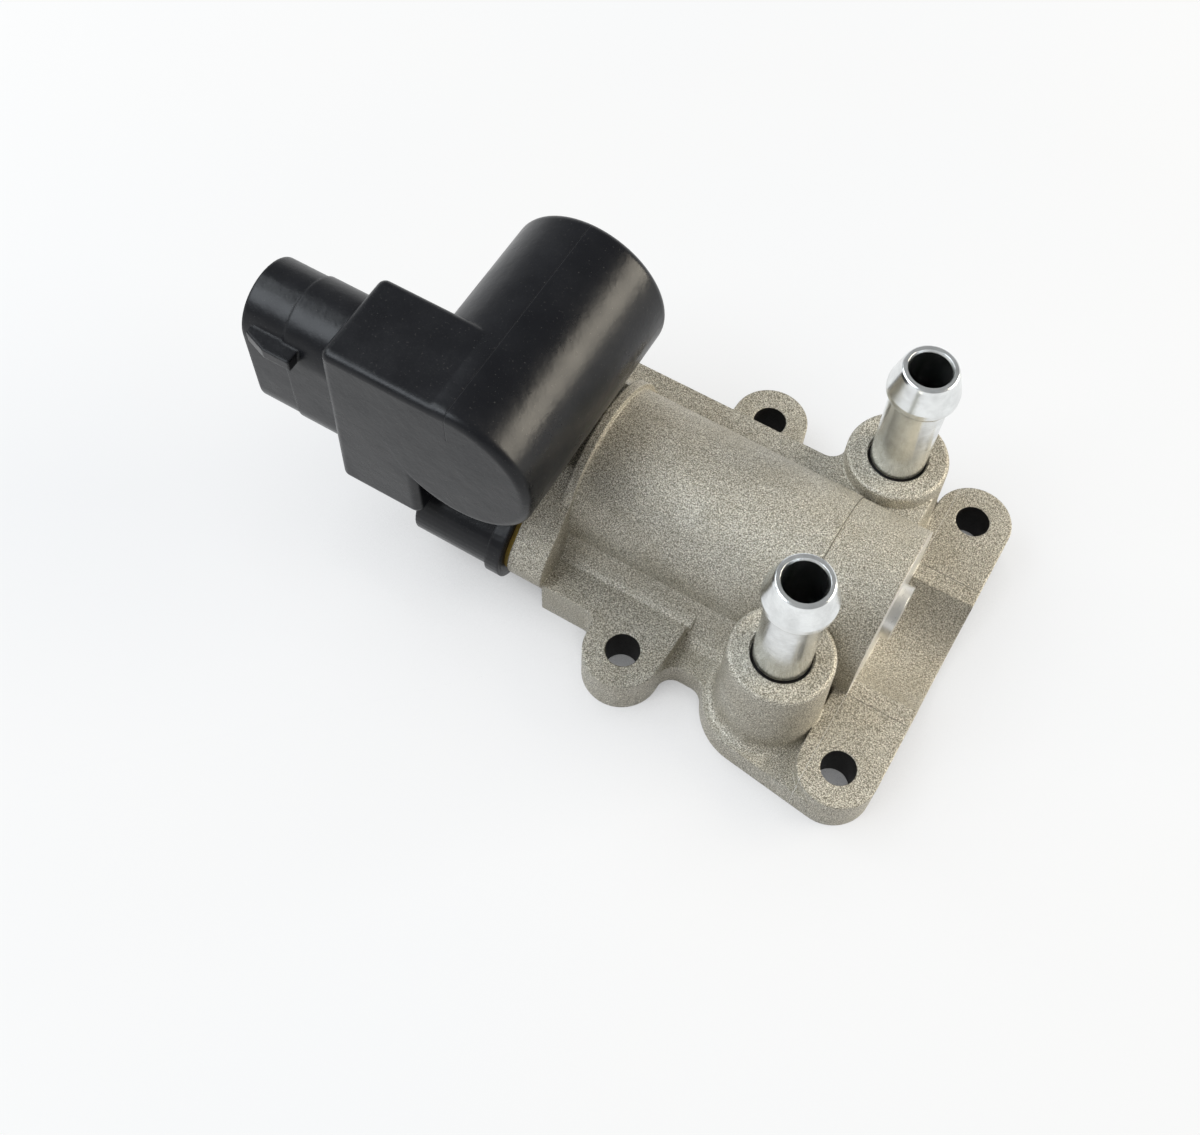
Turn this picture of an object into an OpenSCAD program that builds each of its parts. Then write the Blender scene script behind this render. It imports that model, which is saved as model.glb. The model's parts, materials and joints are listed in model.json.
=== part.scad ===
// Idle air control valve with rotary solenoid, coolant pipes and mounting flange.
// Frame: X runs along the valve axis from the connector to the closed end, Y across the
// flange, Z up from the mounting face. The origin is the middle of the four bolt holes.

/* [Mounting flange] */
// Bolt hole spacing along the valve axis
bolt_gap_x = 37; // [34:0.5:40]
// Bolt hole spacing across the valve axis
bolt_gap_y = 49; // [47:0.5:53]
// Bolt hole diameter
bolt_d = 5.5; // [4.5:0.1:6.5]
// Radius of the ears round the bolt holes
ear_r = 6.3; // [5.5:0.1:7]
// Height of the ear pads above the mounting face
ear_h = 7.8; // [7:0.1:9.5]
// Thickness of the flange plate between the ears
plate_t = 5; // [4.5:0.1:6]
// Width of the flange plate between the ears
plate_w = 43; // [41:0.5:45]
// Reach of the plate towards the solenoid, from the middle of the holes
plate_reach = 35; // [33:0.5:36]
// Fillet between an ear and the plate edge
ear_cove = 2.6; // [1.5:0.1:3.5]

/* [Valve barrel] */
// Height of the valve axis above the mounting face
axis_z = 14; // [13.8:0.1:15]
// Outer radius of the barrel
barrel_r = 13.3; // [12.5:0.1:13.5]
// Distance of the closed barrel end from the middle of the holes
barrel_end = 14.3; // [13:0.1:16]
// Radius of the valve bore
bore_r = 7.6; // [7.4:0.1:7.8]
// Height of the rear shoulder beside the barrel
shoulder_h = 17; // [15:0.5:18.5]
// Distance of the rear shoulder's edge from the valve axis
shoulder_w = 17.5; // [16:0.5:19]
// Radius of the raised lip beside the solenoid
lip_r = 14.2; // [13.9:0.1:14.6]
// Width of the raised lip
lip_w = 1.5; // [1:0.1:2]
// Width of the hollow between the two outer ears
hollow_w = 20.6; // [18:0.2:22]
// Depth of the hollow below the ear pads
hollow_depth = 4.8; // [3:0.1:4.9]

/* [Coolant pipes] */
// Distance of the pipes from the middle of the holes, along the valve axis
pipe_x = 4.1; // [3.5:0.1:4.6]
// Distance between the two pipes
pipe_gap = 39; // [38:0.5:41]
// Offset of the pair of pipes from the valve axis
pipe_offset = 0.7; // [0:0.1:1.5]
// Outer diameter of a pipe
pipe_d = 8.7; // [7.4:0.1:9]
// Inner diameter of a pipe
pipe_bore_d = 6.2; // [5:0.1:6.4]
// Length of pipe standing above its boss
pipe_out = 22.9; // [18:0.1:28]
// Depth of pipe pressed into its boss
pipe_in = 9; // [7:0.5:10]
// Largest diameter of the hose bead
bead_d = 10.7; // [9.6:0.1:11.5]
// Radius of a pipe boss
boss_r = 8; // [7.2:0.1:8.3]
// Height of a pipe boss above the mounting face
boss_h = 21.9; // [20:0.1:24]
// Width of the plate rim round a pipe boss
boss_rim = 2.2; // [1.5:0.1:3]
// Diameter of the sealing recess round a pipe
pipe_recess_d = 9.6; // [9.4:0.1:10.4]

/* [Solenoid housing] */
// Thickness of the solenoid flange cast on the barrel
end_block_t = 6; // [5:0.1:7]
// Radius of the solenoid flange
end_block_r = 13; // [12.5:0.1:13.4]
// Thickness of the seal under the solenoid
seal_t = 0.8; // [0.6:0.1:1.2]
// Radius of the coil drum
drum_r = 13.1; // [12.8:0.1:13.3]
// Length of the coil drum
drum_l = 39.6; // [38:0.1:41]
// Distance of the drum's front face from the valve axis
drum_front = 24; // [23.4:0.1:25]
// Distance from the solenoid flange to the drum's axis
drum_setback = 7.1; // [6.9:0.1:7.6]
// Height of the drum's axis above the valve axis
drum_rise = 21.3; // [21.2:0.1:22.5]
// Gap between the drum and the solenoid flange below it
drum_gap = 0.6; // [0.3:0.1:0.8]
// Drop of the driver box below the top of the drum
box_drop = 0.3; // [0.2:0.1:1]
// Width of the driver box beside the drum
box_w = 21; // [20:0.1:23]
// Height of the driver box
box_h = 33.4; // [31:0.1:34.5]
// Depth of the driver box from the front face
box_depth = 15.9; // [15:0.1:17]
// Corner radius of the driver box
box_corner = 1.4; // [0.8:0.1:2]
// Length of the lower housing round the rotor
rotor_house_l = 16; // [15.6:0.1:18]

/* [Connector] */
// Length of the connector hood beyond the driver box
hood_l = 15.6; // [14:0.1:18]
// Width of the connector hood
hood_w = 14.6; // [13:0.1:15]
// Height of the connector hood
hood_h = 27.6; // [25:0.1:28]
// Wall of the connector hood
hood_wall = 1.5; // [1.2:0.1:2]
// Depth of the socket in the hood
socket_depth = 12.5; // [10:0.5:13.5]
// Distance between neighbouring terminals
pin_pitch = 5.4; // [4.5:0.1:6]

/* [Moving parts] */
// Shaft diameter
shaft_d = 4; // [3.6:0.1:4.4]
// Radial running clearance of the shaft in its bush
run_gap = 0.03; // [0.02:0.01:0.06]
// Radial gap between the rotary valve and its bore
valve_gap = 0.15; // [0.08:0.01:0.25]
// Turn towards open that the stop allows, in degrees
turn_open = 25; // [15:1:30]
// Turn towards closed that the stop allows, in degrees
turn_closed = 20; // [15:1:30]
// Radius of the rotor magnet
magnet_r = 6.3; // [5.8:0.1:6.5]
// Length of the rotor magnet
magnet_l = 11; // [9:0.5:12]

/* [Gasket] */
// Width of the flange gasket
gasket_w = 2.3; // [2:0.1:2.6]
// Depth of the gasket groove
gasket_t = 1.8; // [1.5:0.1:2]
// Distance of the gasket's middle line from a bolt centre
gasket_bolt_r = 6.2; // [5.8:0.1:6.6]

/* [Hidden] */
$fn = 64;
eps = 0.02;
arc_step = 9;

// Places along the valve axis
plate_x0 = -plate_reach;
plate_x1 = bolt_gap_x / 2 + ear_r;
end_x = plate_x0 - end_block_t;
mate_x = end_x - seal_t;
house_x0 = mate_x - rotor_house_l;

// Places of the ears, lugs, pipes and drum
bolt_x = bolt_gap_x / 2;
bolt_y = bolt_gap_y / 2;
plate_y = plate_w / 2;
pipe_y = [pipe_offset - pipe_gap / 2, pipe_offset + pipe_gap / 2];
drum_x = end_x - drum_setback;
drum_z = axis_z + drum_rise;
relief_z = drum_z - sqrt(pow(drum_r + drum_gap, 2) - pow(drum_setback, 2));
drum_y0 = -drum_front;
drum_y1 = drum_y0 + drum_l;
box_x0 = drum_x - box_w;
box_z1 = drum_z + drum_r - box_drop;
box_z0 = box_z1 - box_h;
box_y1 = drum_y0 + box_depth;
box_draft = 1.1;
step_x = drum_x - drum_r + 5.8;

// Lugs that take the solenoid's screws, as places across and above the mounting face
front_lug = [-16.5, axis_z - 5];
rear_lug = [16, axis_z - 6.5];
front_lug_r = 5.5;
rear_lug_r = 4.6;
screw_r = 2;
screw_clear = 0.2;
screw_head_r = 3.5;
screw_head_h = 2.4;
screw_socket = 1.4;
screw_bite = end_block_t - 0.6;
// Extra size of the moulded lugs over the cast ones
lug_grow = 0.7;

// Round pattern of the hollow between the outer ears
hollow_r = (pow(hollow_w / 2, 2) + pow(hollow_depth, 2)) / (2 * hollow_depth);
hollow_z = ear_h - hollow_depth + hollow_r;

// Mould parting across the barrel, and the forms that join it to pads and boss
parting_x = pipe_x - 1.3;
parting_step = 0.15;
skirt_z = axis_z - 2;
pad_end_x = -bolt_x + ear_r + 0.9;
web_h = axis_z + 5.2;

// Coolant channel and air ports, open to the mounting face
divider_x = 1.9;
channel_h = 3.8;
pocket_h = 1.6;
wall = 1.6;
port_x0 = -20.9;
port_x1 = divider_x - gasket_w / 2 - wall;
port_y0 = gasket_w / 2 + wall / 2;
port_y1 = 12.4;
port_h = ear_h;
gasket_x0 = port_x0 - wall / 2 - gasket_w / 2;
gasket_x1 = plate_x1 - 2.5;
gasket_side_y = pipe_gap / 2;
gasket_hump_y = bolt_y - 1.1;
divider_bend_y = 8;
divider_shift = 2.7;

// Step where a pipe leaves its boss
pipe_step = 0.4;

// Bore depths
end_wall = 5;
bore_end = barrel_end - end_wall;
bush_r = 4;
plug_r = 4.5;
plug_t = 2.7;
plug_out = 1.6;
holder_r = bore_r + 1;
holder_flange_t = 2;
holder_lip = 1;
bearing_r = 6.5;
bearing_w = 4;
holder_end = end_x + holder_flange_t + bearing_w;

// Coil parts inside the drum
drum_wall = 1.8;
coil_y0 = drum_y0 + drum_wall;
coil_y1 = drum_y1 - drum_wall;
pole_t = 1.6;
core_r = 3.5;
bobbin_r = 10.2;
bobbin_wall = 1;
bobbin_flange_t = 1.2;
winding_r = 9.3;
fit_gap = 0.1;
pole_w = 6;
neck_y = 11;
well_r = magnet_r + 0.8;

// Connector and driver
hood_x0 = box_x0 - hood_l;
hood_y = drum_y0 + box_depth - hood_w / 2 - 0.1;
hood_z = drum_z - 2.5;
hood_step = 7.3;
socket_x = hood_x0 + socket_depth;
pin_t = 0.8;
pin_w = 2.2;
board_t = 1.2;
board_x0 = box_x0 + 2;
board_x1 = drum_x - drum_r + 0.9;
board_z0 = box_z0 + 2.6;
board_z1 = box_z1 - 2.6;
cavity_y0 = drum_y0 + 2;
cavity_y1 = box_y1 - 2;

// Stop mechanism and bimetal
bimetal_x0 = divider_x;
bimetal_w = 4;
bimetal_t = 0.5;
bimetal_turns = 2.5;
sleeve_r = shaft_d / 2 + 1.2;
guard_t = 0.8;
guard_x = bimetal_x0 + bimetal_w + 0.3;
lever_x = guard_x + guard_t + 0.2;
lever_t = 1;
stop_r = 4.8;
finger_r = 0.7;
stop_margin = 1.5;
finger_angle = asin(finger_r / stop_r);

cast_grey = [0.60, 0.57, 0.51];
zinc = [0.80, 0.83, 0.86];
steel = [0.62, 0.63, 0.65];
black = [0.07, 0.07, 0.08];

// Points along an arc
function arc_points(c, r, from, to) = let (n = max(1, ceil(abs(to - from) / arc_step)))
    [for (i = [0:n]) let (a = from + (to - from) * i / n) c + r * [cos(a), sin(a)]];

// Two circles joined by their outer tangents
module link(p, r, q, s) {
    run = q - p;
    turn = atan2(run.y, run.x);
    lean = acos((r - s) / norm(run));
    translate(p) circle(r);
    translate(q) circle(s);
    polygon([
        for (side = [1, -1], end = side > 0 ? [0, 1] : [1, 0])
            (end == 0 ? p : q)
            + (end == 0 ? r : s) * [cos(turn + side * lean), sin(turn + side * lean)]
    ]);
}

// The same outline as one closed run of short edges
module lobe(p, r, q, s) {
    run = q - p;
    turn = atan2(run.y, run.x);
    lean = acos((r - s) / norm(run));
    polygon(concat(arc_points(p, r, turn + lean, turn + 360 - lean),
        arc_points(q, s, turn - lean, turn + lean)));
}

// Corner points of a closed path moved sideways by h, with mitred corners
function shifted(path, h) = let (n = len(path)) [for (i = [0:n - 1]) let (
    back = path[i] - path[(i + n - 1) % n],
    ahead = path[(i + 1) % n] - path[i],
    u = back / norm(back),
    v = ahead / norm(ahead),
    m = [-(u.y + v.y), u.x + v.x])
    path[i] + m * 2 * h / (m * m)];

// Band of even width along a closed path
module loop_band(path, width) {
    difference() {
        polygon(shifted(path, -width / 2));
        polygon(shifted(path, width / 2));
    }
}

// Rounded inside corner between a circle and a straight edge that runs along X.
// side is -1 or 1 for the left or right corner, out is -1 or 1 for the edge's outer side.
module cove(centre, r, edge_y, side, out, fillet) {
    fy = edge_y + out * fillet;
    fx = centre.x + side * sqrt(pow(r + fillet, 2) - pow(fy - centre.y, 2));
    touch = centre + ([fx, fy] - centre) * r / (r + fillet);
    difference() {
        polygon([[fx, edge_y], [centre.x, edge_y - out], touch]);
        translate([fx, fy]) circle(fillet);
    }
}

// Child in the YZ plane pulled along X from x0 to x1
module along_x(x0, x1) {
    translate([x0, 0, 0])
        rotate([90, 0, 90])
            linear_extrude(x1 - x0) children();
}

// Round bar or hole along X on the valve axis
module axis_rod(x0, x1, r) {
    translate([x0, 0, axis_z]) rotate([0, 90, 0]) cylinder(h = x1 - x0, r = r);
}

// Ring along X on the valve axis
module axis_ring(x0, x1, r, hole) {
    difference() {
        axis_rod(x0, x1, r);
        axis_rod(x0 - 1, x1 + 1, hole);
    }
}

// Round bar along Y on the drum's axis
module drum_rod(y0, y1, r) {
    translate([drum_x, y1, drum_z]) rotate([90, 0, 0]) cylinder(h = y1 - y0, r = r);
}

// Box given by its two corners
module block(a, b) {
    translate(a) cube(b - a);
}

// Rectangle given by its two corners
module patch(a, b) {
    translate(a) square(b - a);
}

// Rounded rectangle given by its two corners
module soft_patch(a, b, r) {
    patch(a + [r, 0], b - [r, 0]);
    patch(a + [0, r], b - [0, r]);
    for (x = [a.x + r, b.x - r], y = [a.y + r, b.y - r]) translate([x, y]) circle(r, $fn = 32);
}

module plate_outline() {
    patch([plate_x0, -plate_y], [plate_x1, plate_y]);
    // Front boss and outer ear share one straight edge, the rear ones meet in a notch
    link([pipe_x, pipe_y[0]], boss_r + boss_rim, [bolt_x, -bolt_y], ear_r);
    translate([pipe_x, pipe_y[1]]) circle(boss_r + boss_rim);
    link([bolt_x, bolt_y], ear_r, [bolt_x, 0], ear_r);
    for (side = [-1, 1]) {
        near = side < 0 ? pipe_y[0] : pipe_y[1];
        link([-bolt_x, side * bolt_y], ear_r, [-bolt_x, 0], ear_r - 0.1);
        for (corner = [-1, 1])
            cove([-bolt_x, side * bolt_y], ear_r, side * plate_y, corner, side, ear_cove);
        cove([pipe_x, near], boss_r + boss_rim, side * plate_y, -1, side, ear_cove);
    }
}

module pad_outline() {
    for (side = [-1, 1]) {
        link([bolt_x, side * bolt_y], ear_r, [bolt_x, 0], ear_r);
        link([-bolt_x, side * bolt_y], ear_r, [-bolt_x, 0], ear_r + 0.9);
        cove([-bolt_x, side * bolt_y], ear_r, side * plate_y, -1, side, ear_cove);
        patch([plate_x0, side < 0 ? -plate_y : 0], [-bolt_x, side < 0 ? 0 : plate_y]);
    }
}

module bolt_places() {
    for (x = [-bolt_x, bolt_x], y = [-bolt_y, bolt_y]) translate([x, y]) children();
}

// Section of the barrel above the mounting face
module barrel_section(r) {
    intersection() {
        translate([0, axis_z]) circle(r);
        patch([-r - 1, plate_t / 2], [r + 1, axis_z + r + 1]);
    }
    patch([-r, plate_t / 2], [r, axis_z]);
}

// Sloping skirt along the front of the barrel, hollowed down to the surface at floor_z
module skirt_section(floor_z) {
    fall = skirt_z - floor_z;
    polygon([[0, plate_t / 2], [-barrel_r - 0.62 * fall, plate_t / 2],
        [-barrel_r - 0.62 * fall, floor_z - 0.05], [-barrel_r - 0.42 * fall, floor_z + 0.16 * fall],
        [-barrel_r - 0.24 * fall, floor_z + 0.44 * fall], [-barrel_r, skirt_z], [0, skirt_z]]);
}

module shoulder_outline() {
    patch([plate_x0, 0], [pipe_x, shoulder_w]);
    translate([pipe_x, pipe_y[1]]) circle(boss_r);
    cove([pipe_x, pipe_y[1]], boss_r, shoulder_w, -1, 1, ear_cove);
}

// Outline of the solenoid joint: a circle on the valve axis and two screw lugs
module joint_section(r, front_r, rear_r) {
    lobe([0, axis_z], r, front_lug, front_r);
    lobe([0, axis_z], r, rear_lug, rear_r);
}

module end_block_section() {
    joint_section(end_block_r, front_lug_r, rear_lug_r);
    patch([0, rear_lug.y], [shoulder_w, shoulder_h]);
}

// Slightly tapered boss that flares into the plate round a coolant pipe
module pipe_boss(y) {
    flare = 1.6;
    foot_r = boss_r + 0.35;
    soft = 0.6;
    translate([pipe_x, y, 0]) {
        rotate_extrude() polygon([[0, 0], [foot_r, 0], [foot_r, plate_t],
            [boss_r, boss_h - soft], [boss_r - 0.3 * soft, boss_h - 0.3 * soft],
            [boss_r - soft, boss_h], [0, boss_h]]);
        translate([0, 0, plate_t])
            rotate_extrude() difference() {
                patch([0, -eps], [foot_r + flare, flare]);
                translate([foot_r + flare, flare]) circle(flare);
            }
    }
}

module body_solid() {
    linear_extrude(plate_t) plate_outline();
    linear_extrude(ear_h) pad_outline();
    along_x(plate_x0, parting_x) barrel_section(barrel_r);
    along_x(parting_x, barrel_end) barrel_section(barrel_r - parting_step);
    along_x(plate_x0, pipe_x) skirt_section(plate_t);
    along_x(plate_x0, pad_end_x) skirt_section(ear_h);
    linear_extrude(shoulder_h) shoulder_outline();
    linear_extrude(web_h) link([pipe_x, pipe_y[1]], boss_r - 0.2, [pipe_x, 0], boss_r - 0.5);
    for (y = pipe_y) pipe_boss(y);
    axis_rod(plate_x0 - lip_w, plate_x0, lip_r);
    along_x(end_x, plate_x0 + eps) end_block_section();
}

// Middle line of the gasket on one side of the valve axis, from its outer end to the ports
function gasket_half() = concat(
    [[gasket_x1, bolt_y - gasket_bolt_r - 2]],
    arc_points([bolt_x, bolt_y], gasket_bolt_r, -62, -170),
    [[pipe_x + 7.6, gasket_hump_y], [pipe_x + 0.8, gasket_hump_y],
    [divider_x - 1.4, gasket_side_y], [-bolt_x + 5.2, gasket_side_y],
    [-bolt_x + 1.4, port_y1 + 3.2], [gasket_x0 + 1.2, port_y1 + 2.2], [gasket_x0, port_y1]]);

function flipped(path) = [for (i = [len(path) - 1:-1:0]) [path[i].x, -path[i].y]];

// Outline of the bent divider between the air ports and the coolant side
module divider_outline() {
    h = gasket_w / 2;
    low_x = divider_x - divider_shift;
    bend_y = gasket_side_y - 5.4;
    side = [[divider_x, divider_bend_y], [low_x, bend_y], [low_x, gasket_side_y]];
    polygon(concat([for (p = side) p + [h, 0]], [for (p = backwards(side)) p - [h, 0]],
        [for (p = side) [p.x - h, -p.y]], [for (p = backwards(side)) [p.x + h, -p.y]]));
}

function backwards(path) = [for (i = [len(path) - 1:-1:0]) path[i]];

// Gasket or its groove: one loop, a divider across it and a second one between the ports
module gasket_track(h) {
    linear_extrude(h) loop_band(concat(gasket_half(), flipped(gasket_half())), gasket_w);
    linear_extrude(h) divider_outline();
    linear_extrude(h) patch([gasket_x0, -gasket_w / 2], [divider_x, gasket_w / 2]);
}

module channel_outline() {
    bend_x = divider_x + gasket_w / 2 + wall + pipe_bore_d / 2;
    for (y = pipe_y) link([pipe_x, y], pipe_bore_d / 2 - 0.1, [bend_x, 0], pipe_bore_d / 2);
}

module pocket_outline() {
    px1 = gasket_x1 - gasket_w / 2 - wall / 2;
    px0 = divider_x + gasket_w / 2 + wall / 2;
    patch([px0, -bolt_y + gasket_bolt_r + 2.6], [px1, bolt_y - gasket_bolt_r - 2.6]);
}

module body_cuts() {
    bolt_places() translate([0, 0, -1]) cylinder(h = ear_h + 2, d = bolt_d);
    // Hollow between the outer ears, in line with the barrel
    translate([barrel_end, 0, hollow_z]) rotate([0, 90, 0]) cylinder(h = plate_x1, r = hollow_r);
    // Room for the coil drum over the solenoid flange
    block([end_x - 1, -barrel_r - 2, relief_z], [plate_x0 - lip_w, barrel_r + 6, 40]);
    // Valve bore, bearing seat, bush seat and plug seat
    axis_rod(end_x - 1, bore_end, bore_r);
    axis_rod(end_x - 1, end_x + holder_flange_t, holder_r);
    axis_rod(bore_end - 1, barrel_end + 1, bush_r);
    axis_rod(barrel_end - plug_t + plug_out, barrel_end + 1, plug_r);
    // Screw holes of the solenoid flange
    for (lug = [front_lug, rear_lug])
        translate([end_x - 1, lug.x, lug.y])
            rotate([0, 90, 0]) cylinder(h = screw_bite + 1, r = screw_r);
    // Pipe seats, each with its sealing recess
    for (y = pipe_y) translate([pipe_x, y, 0]) {
        translate([0, 0, boss_h - pipe_in]) cylinder(h = pipe_in + 1, r = pipe_d / 2 - pipe_step);
        translate([0, 0, boss_h - 1]) cylinder(h = 2, d = pipe_recess_d);
        translate([0, 0, -1]) cylinder(h = boss_h, d = pipe_bore_d);
    }
    // Coolant channel between the pipes, and its shallow pocket
    translate([0, 0, -1]) linear_extrude(channel_h + 1) channel_outline();
    translate([0, 0, -1]) linear_extrude(pocket_h + 1) pocket_outline();
    // Two air ports, from the mounting face into the valve bore
    for (side = [-1, 1]) scale([1, side, 1])
        translate([0, 0, -1])
            linear_extrude(port_h + 1) soft_patch([port_x0, port_y0], [port_x1, port_y1], 3);
    // Gasket groove
    translate([0, 0, -1]) gasket_track(gasket_t + 1);
}

module valve_body() {
    color(cast_grey) difference() {
        body_solid();
        body_cuts();
    }
}

// Turned pipe with a hose bead near its mouth
module coolant_pipe(y) {
    out_r = pipe_d / 2;
    top = boss_h + pipe_out;
    low = boss_h - pipe_in;
    seat_r = out_r - pipe_step;
    mouth_r = pipe_bore_d / 2 + 1;
    color(zinc) translate([pipe_x, y, 0]) rotate_extrude() polygon([
        [pipe_bore_d / 2, low], [seat_r, low], [seat_r, boss_h], [out_r, boss_h],
        [out_r, top - 6.4], [bead_d / 2 - 0.25, top - 5.9],
        [bead_d / 2, top - 5.3], [bead_d / 2, top - 4.4], [bead_d / 2 - 0.4, top - 3],
        [mouth_r + 0.2, top - 0.6], [mouth_r, top - 0.15], [mouth_r - 0.2, top],
        [pipe_bore_d / 2 + 0.25, top], [pipe_bore_d / 2, top - 0.4]
    ]);
}

module front_coolant_pipe() { coolant_pipe(pipe_y[0]); }
module rear_coolant_pipe() { coolant_pipe(pipe_y[1]); }

module flange_gasket() {
    color("black") gasket_track(gasket_t);
}

module end_plug() {
    color(zinc) axis_rod(barrel_end - plug_t + plug_out, barrel_end + plug_out, plug_r);
}

module rear_bush() {
    color("darkgoldenrod")
        axis_ring(bore_end, barrel_end - plug_t + plug_out, bush_r, shaft_d / 2 + run_gap);
}

module bearing_holder() {
    color(steel) {
        difference() {
            union() {
                axis_rod(end_x, end_x + holder_flange_t, holder_r);
                axis_rod(end_x, holder_end + holder_lip, bore_r);
            }
            axis_rod(end_x - 1, holder_end, bearing_r);
            axis_rod(end_x, holder_end + holder_lip + 1, bearing_r - 1.5);
        }
    }
}

race_mid_x = end_x + holder_flange_t + bearing_w / 2;
ball_r = 1;
ball_track_r = (bearing_r + shaft_d / 2) / 2;

// Ring of a ball bearing with its groove
module race(outer, inner) {
    difference() {
        axis_ring(race_mid_x - bearing_w / 2, race_mid_x + bearing_w / 2, outer, inner);
        translate([race_mid_x, 0, axis_z]) rotate([0, 90, 0])
            rotate_extrude() translate([ball_track_r, 0]) circle(ball_r + run_gap, $fn = 32);
    }
}

module bearing_outer_race() { color(steel) race(bearing_r, ball_track_r + 0.6); }
module bearing_inner_race() { color(steel) race(ball_track_r - 0.6, shaft_d / 2); }

module bearing_balls() {
    color(zinc) for (turn = [0:45:315])
        translate([race_mid_x, 0, axis_z]) rotate([turn, 0, 0])
            translate([0, ball_track_r, 0]) sphere(ball_r, $fn = 32);
}

ring_x = race_mid_x + bearing_w / 2 + 0.1;
ring_t = 0.8;
ring_groove = 0.4;

module retaining_ring() {
    color(steel) difference() {
        axis_ring(ring_x, ring_x + ring_t, shaft_d / 2 + 1, shaft_d / 2 - ring_groove);
        block([ring_x - 1, -0.8, axis_z], [ring_x + 2, 0.8, axis_z + 5]);
    }
}

rotor_x1 = mate_x - 1.2;
rotor_x0 = rotor_x1 - magnet_l;

module valve_shaft() {
    color(steel) difference() {
        axis_rod(rotor_x0 - 1, barrel_end - plug_t + plug_out - 0.4, shaft_d / 2);
        axis_ring(ring_x, ring_x + ring_t, shaft_d, shaft_d / 2 - ring_groove);
    }
}

valve_x0 = port_x0 - 1;
valve_x1 = port_x1 + 1;
hub_r = shaft_d / 2 + 1.4;
disc_t = 1.6;
skirt_t = 1.4;
skirt_from = 185;
skirt_to = 268;

// Sector of a ring in the YZ plane, angles from +Y towards +Z
module ring_sector(r, hole, from, to) {
    difference() {
        intersection() {
            circle(r);
            polygon(concat([[0, 0]], [for (a = [from:(to - from) / 4:to]) 2 * r * [cos(a), sin(a)]]));
        }
        circle(hole);
    }
}

module rotary_valve() {
    valve_r = bore_r - valve_gap;
    color("silver") difference() {
        union() {
            axis_rod(valve_x0, valve_x1, hub_r);
            for (x = [valve_x0, valve_x1 - disc_t]) axis_rod(x, x + disc_t, valve_r);
            translate([0, 0, axis_z]) along_x(valve_x0, valve_x1)
                ring_sector(valve_r, valve_r - skirt_t, skirt_from + 90, skirt_to + 90);
        }
        axis_rod(valve_x0 - 1, valve_x1 + 1, shaft_d / 2);
        // Weight relief in both discs, opposite the skirt
        translate([0, 0, axis_z]) along_x(valve_x0 - 1, valve_x1 + 1)
            ring_sector(valve_r + 1, valve_r - 1.8, 30, 150);
    }
}

holder_t = 0.9;

module bimetal_holder() {
    color("gainsboro") difference() {
        axis_ring(bimetal_x0, bimetal_x0 + bimetal_w, bore_r, bore_r - holder_t);
        block([bimetal_x0 - 1, -bore_r - 1, axis_z - 0.3],
            [bimetal_x0 + bimetal_w + 1, -bore_r + holder_t + 0.2, axis_z + 0.3]);
    }
}

// Spiral strip from the stop guard's sleeve out to the holder
module bimetal_coil() {
    inner = sleeve_r + 0.05;
    outer = bore_r - holder_t - bimetal_t - 0.02;
    steps = 60;
    sweep = 360 * bimetal_turns;
    function at(i, off) = let (a = 180 - sweep + sweep * i / steps)
        (inner + (outer - inner) * i / steps + off) * [cos(a), sin(a)];
    color("peru") translate([0, 0, axis_z]) along_x(bimetal_x0 + 0.1, bimetal_x0 + bimetal_w - 0.1)
        polygon(concat([for (i = [0:steps]) at(i, 0)],
            [for (i = [steps:-1:0]) at(i, bimetal_t)]));
}

module stop_guard() {
    half_open = turn_open + stop_margin + finger_angle;
    half_closed = turn_closed + stop_margin + finger_angle;
    color("gainsboro") {
        axis_ring(bimetal_x0, guard_x + guard_t, sleeve_r, shaft_d / 2 + 0.15);
        translate([0, 0, axis_z]) along_x(guard_x, guard_x + guard_t) difference() {
            circle(stop_r + 1.2);
            circle(shaft_d / 2 + 0.15);
            ring_sector(stop_r + 3, sleeve_r, 90 - half_closed, 90 + half_open);
        }
    }
}

module stop_lever() {
    color(steel) difference() {
        union() {
            axis_rod(lever_x, lever_x + lever_t, shaft_d / 2 + 1.2);
            translate([0, 0, axis_z]) along_x(lever_x, lever_x + lever_t)
                link([0, 0], shaft_d / 2 + 1.2, [0, stop_r], 1.2);
            translate([guard_x, 0, axis_z + stop_r]) rotate([0, 90, 0])
                cylinder(h = lever_x - guard_x + eps, r = finger_r);
        }
        axis_rod(lever_x - 1, lever_x + lever_t + 1, shaft_d / 2);
    }
}

rotor_hub_r = 3.4;

module rotor_hub() { color("dimgray") axis_ring(rotor_x0, rotor_x1, rotor_hub_r, shaft_d / 2); }
module rotor_magnet() { color("#3a3a3e") axis_ring(rotor_x0, rotor_x1, magnet_r, rotor_hub_r); }

module solenoid_seal() {
    color("gold") along_x(mate_x, end_x) difference() {
        joint_section(end_block_r - 0.7, front_lug_r - 0.4, rear_lug_r - 0.4);
        translate([0, axis_z]) circle(holder_r + 0.4);
        for (lug = [front_lug, rear_lug]) translate(lug) circle(screw_r + screw_clear);
        patch([-20, relief_z], [20, 40]);
    }
}

drum_edge = 1.5;

// Box with soft edges; corners are its corners in the XZ plane, from y0 to y1
module soft_box(corners, y0, y1, r) {
    mid = [for (axis = [0, 1]) (corners[0][axis] + corners[2][axis]) / 2];
    hull() for (c = corners, y = [y0 + r, y1 - r])
        translate([c.x + sign(mid.x - c.x) * r, y, c.y + sign(mid.y - c.y) * r]) sphere(r, $fn = 24);
}

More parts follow.
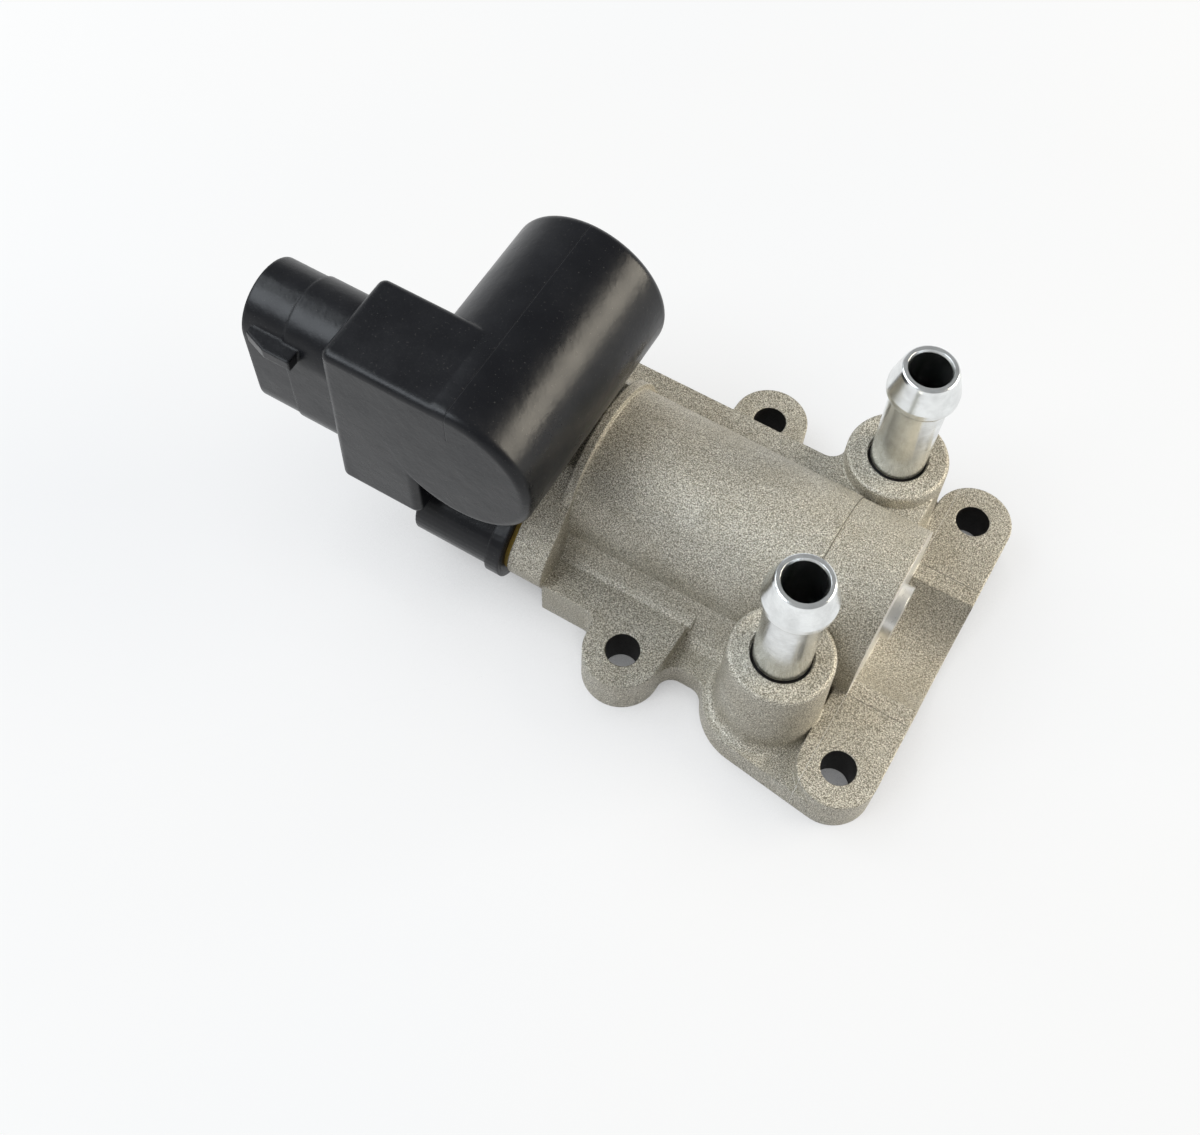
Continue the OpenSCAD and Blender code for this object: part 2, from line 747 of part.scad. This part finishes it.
module drum() {
    e = drum_edge;
    translate([drum_x, drum_y1, drum_z]) rotate([90, 0, 0]) rotate_extrude() polygon(concat(
        [[0, 0]], arc_points([drum_r - e, e], e, -90, 0),
        arc_points([drum_r - e, drum_l - e], e, 0, 90), [[0, drum_l]]));
}

module hood_section(inset) {
    r = hood_w / 2;
    translate([hood_y, hood_z])
        link([0, -hood_h / 2 + r], r - inset, [0, hood_h / 2 - r], r - inset);
}

ramp_out = 1.9;
ramp_t = 2;
ramp_l = 8.3;
ramp_back = 1.8;

// Ledge on the front of the hood that the mating plug latches over
module latch_ramp() {
    ramp_z = hood_z + hood_h / 2 - hood_w / 2 + 0.9;
    face_y = hood_y - hood_w / 2;
    x0 = hood_x0 + ramp_back;
    translate([0, 0, ramp_z]) linear_extrude(ramp_t) polygon([
        [x0, face_y + 2], [x0, face_y - 0.3 * ramp_out], [x0 + 0.45 * ramp_l, face_y - ramp_out],
        [x0 + ramp_l, face_y - ramp_out], [x0 + ramp_l, face_y + 2]]);
}

module housing_solid() {
    drum();
    // Driver box with a drafted left side, its top nearly level with the drum
    soft_box([[box_x0, box_z1], [box_x0 - box_draft, box_z0], [step_x, box_z0], [step_x, box_z1]],
        drum_y0, box_y1, box_corner);
    soft_box([[step_x - 6, box_z1], [step_x - 6, drum_z - 4], [drum_x + 0.8, drum_z - 4],
        [drum_x + 0.8, box_z1]], drum_y0, box_y1, box_corner);
    // Lower housing round the rotor, with its lip and the neck up to the drum
    along_x(house_x0, mate_x)
        joint_section(end_block_r, front_lug_r + lug_grow, rear_lug_r + lug_grow);
    along_x(mate_x - 2.6, mate_x - 0.1)
        lobe([0, axis_z], end_block_r - 1, front_lug, front_lug_r + lug_grow + 0.7);
    block([drum_x - 6.2, -neck_y, axis_z + 5], [drum_x + 5.6, neck_y, drum_z - drum_r + 3]);
    // Connector hood, with a slight step round its mouth
    along_x(hood_x0 + hood_step, box_x0 + 3) hood_section(0);
    along_x(hood_x0, hood_x0 + hood_step) hood_section(0.25);
    latch_ramp();
}

module housing_cuts() {
    // Well of the rotor magnet, open to the barrel
    axis_rod(house_x0 + 2, mate_x + 1, well_r);
    // Coil, core and pole pieces
    drum_rod(coil_y0 + pole_t, coil_y1 - pole_t, bobbin_r + fit_gap);
    for (side = [-1, 1]) pole_shape(side);
    // Driver board space and socket
    block([board_x0, cavity_y0, board_z0], [board_x1, cavity_y1, board_z1]);
    along_x(hood_x0 - 1, socket_x) hood_section(hood_wall);
    terminal_bars();
    // Screw holes, and room for the heads under the driver box
    for (lug = [front_lug, rear_lug]) translate([house_x0, lug.x, lug.y]) rotate([0, 90, 0]) {
        translate([0, 0, -1]) cylinder(h = rotor_house_l + 5, r = screw_r + screw_clear);
        translate([0, 0, -3 * screw_head_h]) cylinder(h = 3 * screw_head_h, r = screw_head_r + 0.3);
    }
}

module solenoid_housing() {
    color(black) difference() {
        housing_solid();
        housing_cuts();
    }
}

// Steel plate bent from one end of the core down to the rotor; side is -1 front, 1 rear
module pole_shape(side) {
    mid_y = (coil_y0 + coil_y1) / 2;
    far = (coil_y1 - coil_y0) / 2;
    run_z = drum_z - bobbin_r - 2 * fit_gap - pole_t;
    near = side * well_r + side * 0.3 - mid_y;
    x0 = drum_x - pole_w / 2;
    x1 = drum_x + pole_w / 2;
    translate([0, mid_y, 0]) {
        slab(x0, x1, side * (far - pole_t), side * far, run_z, drum_z + 5);
        slab(x0, x1, near, side * far, run_z, run_z + pole_t);
        slab(x0, x1, near, near + side * pole_t, axis_z - 4, run_z + pole_t);
    }
}

// Box between two places along each direction, in either order
module slab(x0, x1, y0, y1, z0, z1) {
    block([x0, min(y0, y1), z0], [x1, max(y0, y1), z1]);
}

module front_pole_piece() { color(steel) pole_shape(-1); }
module rear_pole_piece() { color(steel) pole_shape(1); }

module coil_core() {
    color(steel) drum_rod(coil_y0 + pole_t, coil_y1 - pole_t, core_r);
}

module coil_bobbin() {
    y0 = coil_y0 + pole_t;
    y1 = coil_y1 - pole_t;
    color("ivory") difference() {
        union() {
            drum_rod(y0, y1, core_r + bobbin_wall);
            drum_rod(y0, y0 + bobbin_flange_t, bobbin_r);
            drum_rod(y1 - bobbin_flange_t, y1, bobbin_r);
        }
        drum_rod(y0 - 1, y1 + 1, core_r);
    }
}

module copper_winding() {
    y0 = coil_y0 + pole_t + bobbin_flange_t;
    y1 = coil_y1 - pole_t - bobbin_flange_t;
    color("chocolate") difference() {
        drum_rod(y0, y1, winding_r);
        drum_rod(y0 - 1, y1 + 1, core_r + bobbin_wall);
    }
}

module driver_board() {
    y = hood_y + pin_t / 2;
    color("darkgreen") block([board_x0, y, board_z0], [board_x1, y + board_t, board_z1]);
}

module driver_chip() {
    y = hood_y + pin_t / 2 + board_t;
    mid = [(board_x0 + board_x1) / 2, y, (board_z0 + board_z1) / 2];
    color("#222226") block(mid - [2.5, 0, 4.5], mid + [2.5, 1.8, 4.5]);
}

// Three flat blades from the socket to the board
module terminal_bars() {
    for (step = [-1:1])
        block([hood_x0 + 5, hood_y - pin_t / 2, hood_z + step * pin_pitch - pin_w / 2],
            [board_x0 + 3, hood_y + pin_t / 2, hood_z + step * pin_pitch + pin_w / 2]);
}

module connector_terminals() { color("lightgray") terminal_bars(); }

module solenoid_screws() {
    color(zinc) for (lug = [front_lug, rear_lug])
        translate([house_x0, lug.x, lug.y]) rotate([0, 90, 0]) {
            cylinder(h = rotor_house_l + seal_t + screw_bite, r = screw_r);
            difference() {
                translate([0, 0, -screw_head_h]) cylinder(h = screw_head_h, r = screw_head_r);
                translate([0, 0, -screw_head_h - 1])
                    cylinder(h = screw_socket + 1, r = 0.8 * screw_r, $fn = 6);
            }
        }
}

valve_body();
front_coolant_pipe();
rear_coolant_pipe();
flange_gasket();
end_plug();
rear_bush();
bearing_holder();
bearing_outer_race();
bearing_balls();
bearing_inner_race();
retaining_ring();
valve_shaft();
rotary_valve();
bimetal_holder();
bimetal_coil();
stop_guard();
stop_lever();
rotor_hub();
rotor_magnet();
solenoid_seal();
solenoid_housing();
coil_bobbin();
copper_winding();
coil_core();
front_pole_piece();
rear_pole_piece();
driver_board();
driver_chip();
connector_terminals();
solenoid_screws();
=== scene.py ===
"""Idle air control valve: finishes, floor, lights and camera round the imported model."""
import json
from math import cos, radians, sin

import bpy
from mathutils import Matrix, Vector

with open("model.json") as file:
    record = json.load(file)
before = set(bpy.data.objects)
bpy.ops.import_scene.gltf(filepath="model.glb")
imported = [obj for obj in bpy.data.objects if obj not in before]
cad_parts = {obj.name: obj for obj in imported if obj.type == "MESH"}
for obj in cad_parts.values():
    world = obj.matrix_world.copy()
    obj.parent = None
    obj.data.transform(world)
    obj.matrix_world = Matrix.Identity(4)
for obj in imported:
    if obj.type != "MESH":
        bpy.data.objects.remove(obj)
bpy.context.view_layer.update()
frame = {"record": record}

MM = 0.001

# Bolt holes and pipes, from the mounts in the record
mounts = {mount["name"]: mount for mount in frame["record"]["mounts"]}
bolts = mounts["flange_bolts"]["dims"]
HOLE_R = bolts["hole_r_mm"] * MM
HOLES = [(sx * bolts["spacing_x_mm"] * MM / 2, sy * bolts["spacing_y_mm"] * MM / 2)
         for sx in (-1, 1) for sy in (-1, 1)]
PIPES = [tuple(mounts[name]["pos_m"][:2]) for name in ("front_hose", "rear_hose")]

# Sealant round a pipe, pipe boss with its rounding, end face of the barrel and top of the ears
SEALANT_R = 4.55 * MM
BOSS_R = 8.6 * MM
BARREL_END = 14.3 * MM
EAR_TOP = 7.8 * MM

# Lines that the moulds left on the barrel, on the outer pads and on top of the housing; the dark
# line over the barrel is painted shade of its step
PARTING_X = PIPES[0][0] - 1.3 * MM
PAD_LINE_Y = 13.2 * MM
MOULD_LINE_X = -48.3 * MM
MOULD_LINE_Z = 42.2 * MM

# Distance of the lamps, and the place of the camera that took the photo with its turn in degrees
LAMP_DISTANCE = 0.75
CAMERA_PLACE = (21.693 * MM, -107.871 * MM, 212.167 * MM)
CAMERA_TURN = (27.625, -1.047, 30.702)


# Node helpers

def new_material(name):
    """Material with one Principled shader, and its node tree."""
    mat = bpy.data.materials.new(name)
    mat.use_nodes = True
    tree = mat.node_tree
    tree.nodes.clear()
    out = tree.nodes.new("ShaderNodeOutputMaterial")
    shader = tree.nodes.new("ShaderNodeBsdfPrincipled")
    tree.links.new(shader.outputs["BSDF"], out.inputs["Surface"])
    return mat, tree, shader


def coordinates(tree, stretch=(1, 1, 1)):
    """Point on the surface in metres, with each axis scaled by stretch."""
    coord = tree.nodes.new("ShaderNodeTexCoord")
    mapping = tree.nodes.new("ShaderNodeMapping")
    mapping.inputs["Scale"].default_value = stretch
    tree.links.new(coord.outputs["Object"], mapping.inputs["Vector"])
    return mapping.outputs["Vector"]


def noise(tree, grain, detail=4, roughness=0.6, stretch=(1, 1, 1)):
    """Noise whose features are about grain metres across."""
    node = tree.nodes.new("ShaderNodeTexNoise")
    node.inputs["Scale"].default_value = 1 / grain
    node.inputs["Detail"].default_value = detail
    node.inputs["Roughness"].default_value = roughness
    tree.links.new(coordinates(tree, stretch), node.inputs["Vector"])
    return node.outputs["Fac"]


def ramp(tree, value, stops):
    """Colour ramp; stops are (place, colour) pairs."""
    node = tree.nodes.new("ShaderNodeValToRGB")
    elements = node.color_ramp.elements
    while len(elements) < len(stops):
        elements.new(0.5)
    for element, (place, colour) in zip(elements, stops):
        element.position = place
        element.color = (*colour, 1)
    tree.links.new(value, node.inputs["Fac"])
    return node.outputs["Color"]


def spread(tree, value, low, high, start=0.3, end=0.7):
    """Value that goes from low at start to high at end."""
    node = tree.nodes.new("ShaderNodeMapRange")
    node.inputs["From Min"].default_value = start
    node.inputs["From Max"].default_value = end
    node.inputs["To Min"].default_value = low
    node.inputs["To Max"].default_value = high
    tree.links.new(value, node.inputs["Value"])
    return node.outputs["Result"]


def blend_colour(tree, factor, first, second, mode="MIX"):
    """Two colours mixed by a factor; each input is a number, a colour or a socket."""
    node = tree.nodes.new("ShaderNodeMix")
    node.data_type = "RGBA"
    node.blend_type = mode
    for socket, value in (("Factor", factor), ("A", first), ("B", second)):
        target = [s for s in node.inputs if s.name == socket and s.enabled][0]
        if isinstance(value, (int, float)):
            target.default_value = value
        elif isinstance(value, tuple):
            target.default_value = (*value, 1)
        else:
            tree.links.new(value, target)
    return [s for s in node.outputs if s.enabled][0]


def calculate(tree, operation, first, second=0.0):
    """One step of arithmetic on numbers or sockets."""
    node = tree.nodes.new("ShaderNodeMath")
    node.operation = operation
    for socket, value in zip(node.inputs, (first, second)):
        if isinstance(value, (int, float)):
            socket.default_value = value
        else:
            tree.links.new(value, socket)
    return node.outputs["Value"]


def split(tree):
    """X, Y and Z of a point in the frame."""
    node = tree.nodes.new("ShaderNodeSeparateXYZ")
    tree.links.new(coordinates(tree), node.inputs["Vector"])
    return [node.outputs[axis] for axis in "XYZ"]


def inside_holes(tree, holes, radius):
    """1 inside upright round holes, which are given by their places."""
    flat = tree.nodes.new("ShaderNodeVectorMath")
    flat.operation = "MULTIPLY"
    tree.links.new(coordinates(tree), flat.inputs[0])
    flat.inputs[1].default_value = (1, 1, 0)
    nearest = None
    for x, y in holes:
        away = tree.nodes.new("ShaderNodeVectorMath")
        away.operation = "DISTANCE"
        tree.links.new(flat.outputs["Vector"], away.inputs[0])
        away.inputs[1].default_value = (x, y, 0)
        reach = away.outputs["Value"]
        nearest = calculate(tree, "MINIMUM", nearest, reach) if nearest else reach
    return spread(tree, nearest, 1, 0, radius, radius + 0.05 * MM)


def band(tree, value, place, half_width, blur):
    """1 where a value lies within half_width of a place."""
    away = calculate(tree, "ABSOLUTE", calculate(tree, "SUBTRACT", value, place))
    return spread(tree, away, 1, 0, half_width, half_width + blur)


def bump(tree, shader, heights, edge):
    """Edges softened by edge metres under a stack of bumps; heights are (value, distance) pairs."""
    bevel = tree.nodes.new("ShaderNodeBevel")
    bevel.samples = 6
    bevel.inputs["Radius"].default_value = edge
    normal = bevel.outputs["Normal"]
    for value, distance in heights:
        node = tree.nodes.new("ShaderNodeBump")
        node.inputs["Strength"].default_value = 1
        node.inputs["Distance"].default_value = distance
        tree.links.new(value, node.inputs["Height"])
        tree.links.new(normal, node.inputs["Normal"])
        normal = node.outputs["Normal"]
    tree.links.new(normal, shader.inputs["Normal"])


# Materials

def cast_aluminium():
    """Blasted casting with a fine grain, milled end faces, and painted shade in the bolt holes and
    along the barrel's parting line.
    """
    mat, tree, shader = new_material("cast_aluminium")
    x, y, z = split(tree)
    fine = noise(tree, 0.157 * MM, detail=2, roughness=0.75)
    broad = noise(tree, 6 * MM)
    grain = ramp(tree, fine, [(0.40, (0.17, 0.158, 0.132)), (0.50, (0.475, 0.445, 0.370)),
                              (0.60, (0.97, 0.94, 0.87))])
    tint = ramp(tree, broad, [(0.3, (0.90, 0.88, 0.83)), (0.7, (1.0, 1.0, 0.99))])
    colour = blend_colour(tree, 1.0, grain, tint, "MULTIPLY")
    # Painted shade: a dark line along the step of the mould's parting line over the barrel
    above_ears = spread(tree, z, 0, 1, EAR_TOP + 4 * MM, EAR_TOP + 6 * MM)
    line = calculate(tree, "MULTIPLY", band(tree, x, PARTING_X, 0.03 * MM, 0.09 * MM), above_ears)
    line = calculate(tree, "SUBTRACT", line, inside_holes(tree, PIPES, BOSS_R))
    # Faint lines of the mould's core on the two outer pads
    on_pads = calculate(tree, "MULTIPLY", band(tree, z, EAR_TOP, 0.05 * MM, 0.05 * MM),
                        spread(tree, x, 0, 1, BARREL_END, BARREL_END + 1 * MM))
    across = band(tree, calculate(tree, "ABSOLUTE", y), PAD_LINE_Y, 0.02 * MM, 0.08 * MM)
    line = calculate(tree, "MAXIMUM", line, calculate(tree, "MULTIPLY", across, on_pads))
    # Both lines darken the colour; on the barrel the dark line is painted shade of the step
    colour = blend_colour(tree, spread(tree, line, 0, 0.75, 0, 1), colour, (0.05, 0.047, 0.042))
    # Painted shade down in the bolt holes, and the sealant round the pipes
    below_top = spread(tree, z, 1, 0, EAR_TOP - 0.15 * MM, EAR_TOP)
    holes = calculate(tree, "MULTIPLY", inside_holes(tree, HOLES, HOLE_R + 0.05 * MM), below_top)
    sealant = calculate(tree, "MULTIPLY", inside_holes(tree, PIPES, SEALANT_R), above_ears)
    dark = calculate(tree, "MAXIMUM", holes, sealant)
    colour = blend_colour(tree, dark, colour, (0.022, 0.020, 0.019))
    # Milled faces: the mounting face and the closed end of the barrel
    milled = calculate(tree, "MAXIMUM", spread(tree, z, 1, 0, 0.02 * MM, 0.05 * MM),
                       band(tree, x, BARREL_END, 0.02 * MM, 0.02 * MM))
    sweep = noise(tree, 1.2 * MM, detail=3, stretch=(1, 12, 12))
    bright = ramp(tree, sweep, [(0.3, (0.80, 0.79, 0.77)), (0.7, (0.94, 0.93, 0.91))])
    colour = blend_colour(tree, milled, colour, bright)
    tree.links.new(colour, shader.inputs["Base Color"])
    tree.links.new(spread(tree, milled, 0.5, 0.7, 0, 1), shader.inputs["Metallic"])
    rough = spread(tree, fine, 0.62, 0.46)
    tree.links.new(calculate(tree, "SUBTRACT", rough, calculate(tree, "MULTIPLY", milled, 0.22)),
                   shader.inputs["Roughness"])
    bump(tree, shader, [(fine, 0.06 * MM), (noise(tree, 1.6 * MM), 0.05 * MM)], 0.45 * MM)
    return mat


def plated(name, colour, roughness, streak=(1, 1, 14)):
    """Bright turned or drawn metal with faint streaks."""
    mat, tree, shader = new_material(name)
    lines = noise(tree, 1.6 * MM, detail=5, stretch=streak)
    spots = noise(tree, 3.5 * MM)
    dark = tuple(c * 0.78 for c in colour)
    tree.links.new(ramp(tree, spots, [(0.3, dark), (0.62, colour)]), shader.inputs["Base Color"])
    shader.inputs["Metallic"].default_value = 1.0
    tree.links.new(spread(tree, lines, roughness * 0.7, roughness * 1.35),
                   shader.inputs["Roughness"])
    bump(tree, shader, [(lines, 0.012 * MM), (spots, 0.02 * MM)], 0.15 * MM)
    return mat


def plastic(name, colour, roughness, moulded=False):
    """Plastic with a slight haze and dust, and on the housing also scuffs and a mould line."""
    mat, tree, shader = new_material(name)
    haze = noise(tree, 9 * MM, detail=6)
    heights = [(noise(tree, 0.9 * MM, detail=3), 0.01 * MM), (noise(tree, 6 * MM), 0.05 * MM)]
    rough = spread(tree, haze, roughness * 0.85, roughness * 1.2)
    marks = spread(tree, noise(tree, 0.35 * MM, detail=2), 0, 0.25, 0.66, 0.74)
    if moulded:
        x, _, z = split(tree)
        line = calculate(tree, "MULTIPLY", band(tree, x, MOULD_LINE_X, 0.04 * MM, 0.08 * MM),
                         spread(tree, z, 0, 1, MOULD_LINE_Z, MOULD_LINE_Z + 0.3 * MM))
        rubbed = noise(tree, 0.45 * MM, detail=4, stretch=(1, 7, 2))
        scuffs = calculate(tree, "MULTIPLY", spread(tree, rubbed, 0, 1, 0.56, 0.68),
                           spread(tree, haze, 0, 1, 0.46, 0.58))
        rough = calculate(tree, "ADD", rough, calculate(tree, "MULTIPLY", scuffs, 0.16))
        marks = calculate(tree, "MAXIMUM", marks, calculate(tree, "MULTIPLY", scuffs, 0.06))
        heights += [(noise(tree, 2.6 * MM, detail=3), 0.035 * MM), (noise(tree, 8 * MM), 0.12 * MM),
                    (spread(tree, line, 1, 0, 0, 1), 0.04 * MM)]
    shader.inputs["Specular IOR Level"].default_value = 0.31
    pale = tuple(min(1.0, c * 1.35 + 0.004) for c in colour)
    skin_colour = ramp(tree, haze, [(0.35, colour), (0.75, pale)])
    tree.links.new(blend_colour(tree, marks, skin_colour, (0.16, 0.155, 0.15)),
                   shader.inputs["Base Color"])
    tree.links.new(rough, shader.inputs["Roughness"])
    bump(tree, shader, heights, 0.6 * MM)
    return mat


def rubber(name, colour):
    """Matt rubber with a little dust."""
    mat, tree, shader = new_material(name)
    dust = noise(tree, 0.6 * MM, detail=6)
    pale = tuple(c * 1.8 + 0.01 for c in colour)
    tree.links.new(ramp(tree, dust, [(0.4, colour), (0.8, pale)]), shader.inputs["Base Color"])
    tree.links.new(spread(tree, dust, 0.5, 0.7), shader.inputs["Roughness"])
    bump(tree, shader, [(dust, 0.03 * MM)], 0.2 * MM)
    return mat


# Finishes, floor, lights and camera

def finish_nodes():
    """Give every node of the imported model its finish."""
    finishes = {
        "cast": cast_aluminium(),
        "zinc": plated("zinc_plate", (0.88, 0.90, 0.90), 0.20),
        "steel": plated("ground_steel", (0.56, 0.57, 0.58), 0.32),
        "valve_alloy": plated("machined_alloy", (0.86, 0.85, 0.82), 0.34, (14, 1, 1)),
        "bronze": plated("bush_bronze", (0.52, 0.36, 0.17), 0.42),
        "bimetal": plated("bimetal_strip", (0.55, 0.40, 0.28), 0.36),
        "magnet": plated("magnet_ferrite", (0.07, 0.07, 0.075), 0.55),
        "copper": plated("enamelled_wire", (0.50, 0.20, 0.08), 0.32, (1, 40, 1)),
        "tin": plated("tin_plate", (0.72, 0.71, 0.68), 0.25),
        "rubber": rubber("gasket_rubber", (0.014, 0.014, 0.015)),
        "seal": rubber("seal_rubber", (0.30, 0.20, 0.03)),
        "black_plastic": plastic("black_housing", (0.0040, 0.0046, 0.0070), 0.29, moulded=True),
        "bobbin_plastic": plastic("bobbin_plastic", (0.62, 0.57, 0.46), 0.45),
        "board": plastic("board_coating", (0.02, 0.13, 0.05), 0.35),
    }
    slots = {part["node"]: part["material_slot"] for part in frame["record"]["subparts"]}
    for node, slot in slots.items():
        obj = bpy.data.objects[node]
        if not obj.material_slots:
            obj.data.materials.append(None)
        for place in obj.material_slots:
            place.material = finishes[slot]


def floor():
    """Floor as bright as the background, with painted shade that darkens it only close to the valve
    and under it.
    """
    reach = 3.0
    mesh = bpy.data.meshes.new("floor")
    corners = [(-reach, -reach, 0), (reach, -reach, 0), (reach, reach, 0), (-reach, reach, 0)]
    mesh.from_pydata(corners, [], [(0, 1, 2, 3)])
    obj = bpy.data.objects.new("floor", mesh)
    bpy.context.scene.collection.objects.link(obj)
    mat, tree, shader = new_material("pale_floor")
    shade = noise(tree, 90 * MM, detail=1)
    tree.links.new(ramp(tree, shade, [(0.3, (0.195, 0.202, 0.208)), (0.7, (0.205, 0.205, 0.202))]),
                   shader.inputs["Base Color"])
    shader.inputs["Roughness"].default_value = 1.0
    shader.inputs["Specular IOR Level"].default_value = 0.0
    shader.inputs["Emission Color"].default_value = (0.985, 0.99, 1, 1)
    openness = tree.nodes.new("ShaderNodeAmbientOcclusion")
    openness.samples = 4
    openness.inputs["Distance"].default_value = 30 * MM
    # Painted shade: the glow dims with ambient occlusion, dark down in the bolt holes, grey under
    # the solenoid and bright beside the valve
    painted_shade_levels = [(0.10, 0), (0.25, 0.42), (0.44, 0.65), (0.95, 0.76)]
    glow = ramp(tree, openness.outputs["AO"],
                [(place, (level, level, level)) for place, level in painted_shade_levels])
    # The lamps fade with distance, and the glow makes up for it
    away = tree.nodes.new("ShaderNodeVectorMath")
    away.operation = "LENGTH"
    tree.links.new(coordinates(tree), away.inputs[0])
    extra = spread(tree, away.outputs["Value"], 0, 0.19, 0.12, 0.9)
    glow = calculate(tree, "ADD", glow, extra)
    tree.links.new(calculate(tree, "MULTIPLY", glow, background_rays(tree)),
                   shader.inputs["Emission Strength"])
    obj.data.materials.append(mat)


def area_light(name, place, size, power, colour):
    """Rectangular light that faces the valve."""
    data = bpy.data.lights.new(name, "AREA")
    data.shape = "RECTANGLE"
    data.size, data.size_y = size
    data.energy = power
    data.color = colour
    obj = bpy.data.objects.new(name, data)
    bpy.context.scene.collection.objects.link(obj)
    obj.location = place
    obj.rotation_euler = place.to_track_quat("Z", "Y").to_euler()


def background_rays(tree):
    """1 for the rays that see the pale background: the camera's and those of reflections."""
    path = tree.nodes.new("ShaderNodeLightPath")
    shown = calculate(tree, "MAXIMUM", path.outputs["Is Camera Ray"], path.outputs["Is Glossy Ray"])
    return calculate(tree, "MAXIMUM", shown, path.outputs["Is Transmission Ray"])


def room_light(tree, direction, horizon, ceiling):
    """Brightness of the room in each direction, from the horizon's to the ceiling's."""
    parts = tree.nodes.new("ShaderNodeSeparateXYZ")
    tree.links.new(direction, parts.inputs["Vector"])
    return spread(tree, parts.outputs["Z"], horizon, ceiling, 0.02, 0.30)


def lamp_place(azimuth, elevation):
    """Place of a lamp in a direction given in degrees."""
    turn, rise = radians(azimuth), radians(elevation)
    direction = Vector((cos(rise) * cos(turn), cos(rise) * sin(turn), sin(rise)))
    return direction * LAMP_DISTANCE


def lights():
    """Window and lamp where the photo's reflections show them, a fill light and a pale room."""
    area_light("window", lamp_place(-137, 48), (0.36, 0.36), 2.1, (0.88, 0.94, 1.0))
    area_light("lamp", lamp_place(34, 27), (0.46, 0.34), 4.6, (1.0, 0.92, 0.77))
    area_light("wall", lamp_place(180, 45), (0.36, 0.36), 1.5, (0.90, 0.96, 1.0))
    world = bpy.data.worlds.new("studio")
    bpy.context.scene.world = world
    world.use_nodes = True
    tree = world.node_tree
    direction = tree.nodes.new("ShaderNodeTexCoord").outputs["Generated"]
    room = tree.nodes["Background"]
    room.inputs["Color"].default_value = (1.0, 0.97, 0.91, 1)
    tree.links.new(room_light(tree, direction, 0.34, 0.27), room.inputs["Strength"])
    # The pale background, for the camera and in reflections
    seen = tree.nodes.new("ShaderNodeBackground")
    seen.inputs["Color"].default_value = (0.945, 0.955, 0.96, 1)
    tree.links.new(room_light(tree, direction, 1.0, 0.38), seen.inputs["Strength"])
    choose = tree.nodes.new("ShaderNodeMixShader")
    tree.links.new(background_rays(tree), choose.inputs["Fac"])
    tree.links.new(room.outputs["Background"], choose.inputs[1])
    tree.links.new(seen.outputs["Background"], choose.inputs[2])
    tree.links.new(choose.outputs["Shader"], tree.nodes["World Output"].inputs["Surface"])


def camera():
    """The photo's camera, worked out from the bolt holes, the pipes and the outline."""
    data = bpy.data.cameras.new("camera")
    data.sensor_width = 36
    data.sensor_fit = "HORIZONTAL"
    data.lens = 43.708
    data.shift_x = 0.00426
    data.shift_y = -0.00235
    data.clip_start = 0.01
    obj = bpy.data.objects.new("camera", data)
    bpy.context.scene.collection.objects.link(obj)
    obj.location = CAMERA_PLACE
    obj.rotation_euler = [radians(angle) for angle in CAMERA_TURN]
    bpy.context.scene.camera = obj


camera()
finish_nodes()
floor()
lights()

bpy.context.scene.view_settings.view_transform = "Standard"
